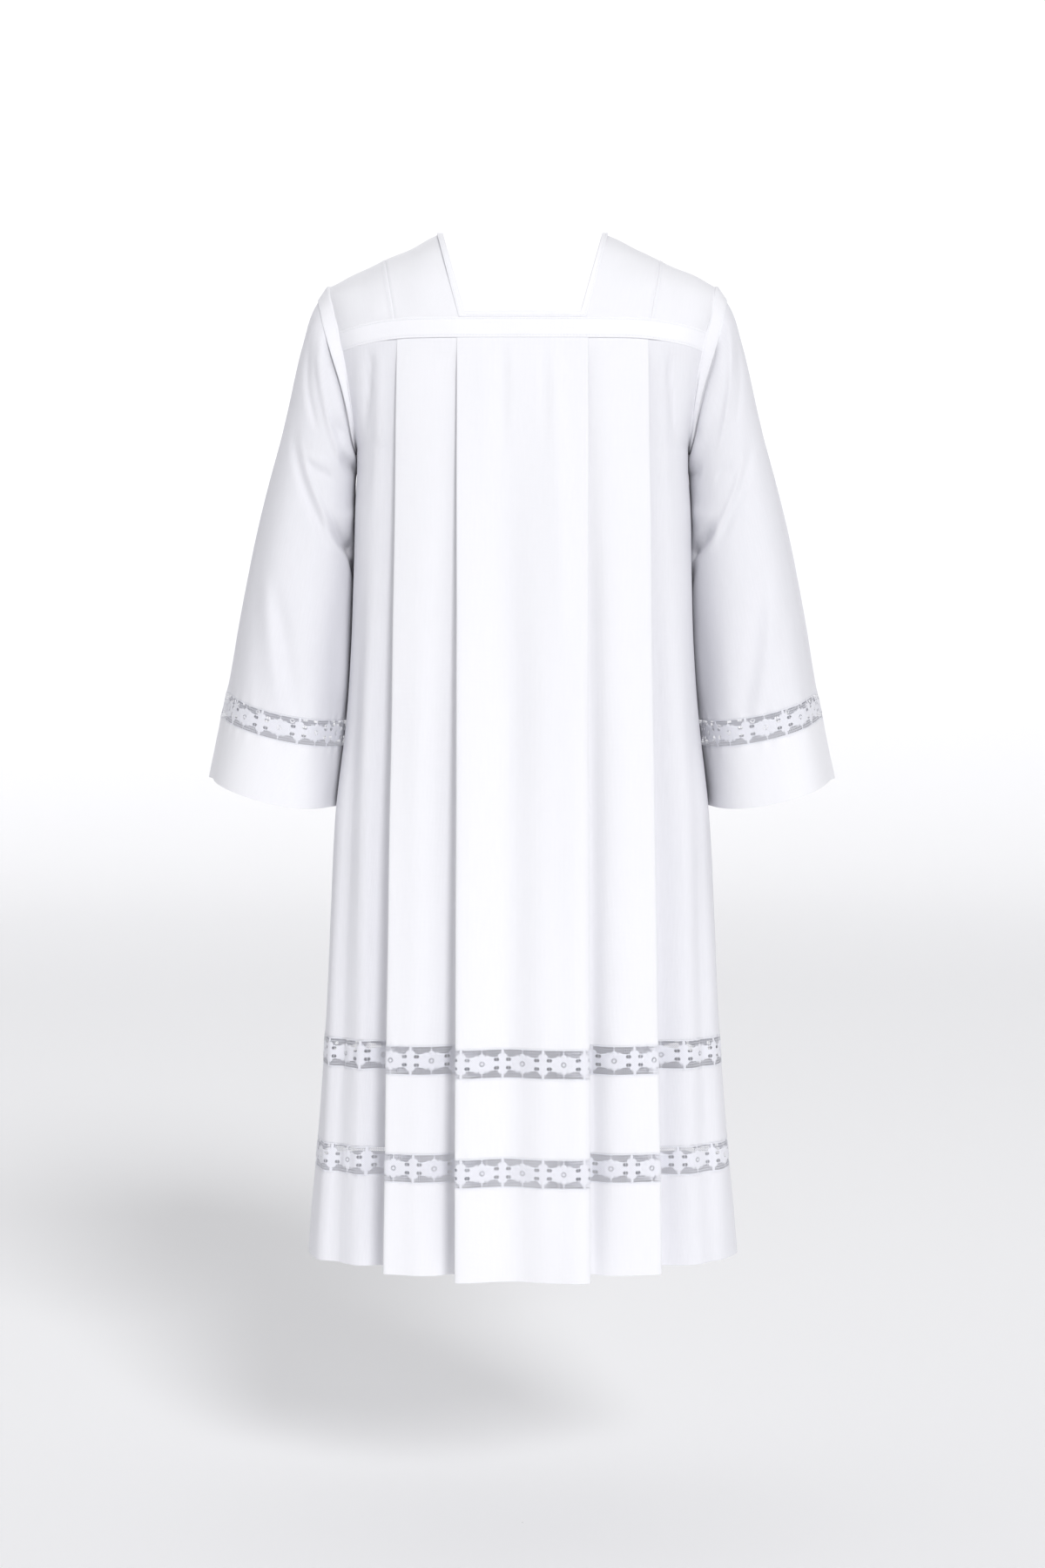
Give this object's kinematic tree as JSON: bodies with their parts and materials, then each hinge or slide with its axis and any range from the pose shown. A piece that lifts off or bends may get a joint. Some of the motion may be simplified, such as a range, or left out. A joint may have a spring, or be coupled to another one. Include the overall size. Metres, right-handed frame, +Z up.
{
  "type": "surplice",
  "caption": "Pleated white surplice with a square yoke, wide sleeves and lace insertions at cuffs and hem, shaped as worn and open at neck, sleeves and hem",
  "frame": {"origin": "on the centre line, midway between front and back, level with the top of the neck opening, where the wearer's shoulders carry the garment", "axes": "+X to the wearer's left, -Y to the wearer's front, +Z up"},
  "size_m": [0.7412, 0.3753, 1.2059],
  "materials": {
    "cloth": "smooth white plain-weave polyester and cotton cloth, matt with a faint sheen",
    "lace": "white cotton insertion lace, matt"
  },
  "bodies": {
    "root": {"neck_binding": "cloth", "strap_left": "cloth", "strap_right": "cloth", "shoulder_left": "cloth", "shoulder_right": "cloth", "yoke_band_back": "cloth", "yoke_band_front": "cloth", "armhole_band_left": "cloth", "armhole_band_right": "cloth", "sleeve_left": "cloth", "sleeve_right": "cloth", "sleeve_lace_rear_left": "lace", "sleeve_lace_fore_left": "lace", "sleeve_lace_rear_right": "lace", "sleeve_lace_fore_right": "lace", "cuff_left": "cloth", "cuff_right": "cloth", "back_panel": "cloth", "front_panel": "cloth", "lace_upper_back": "lace", "lace_upper_front": "lace", "middle_band_back": "cloth", "middle_band_front": "cloth", "lace_lower_back": "lace", "lace_lower_front": "lace", "hem_band_back": "cloth", "hem_band_front": "cloth"}
  },
  "joints": []
}
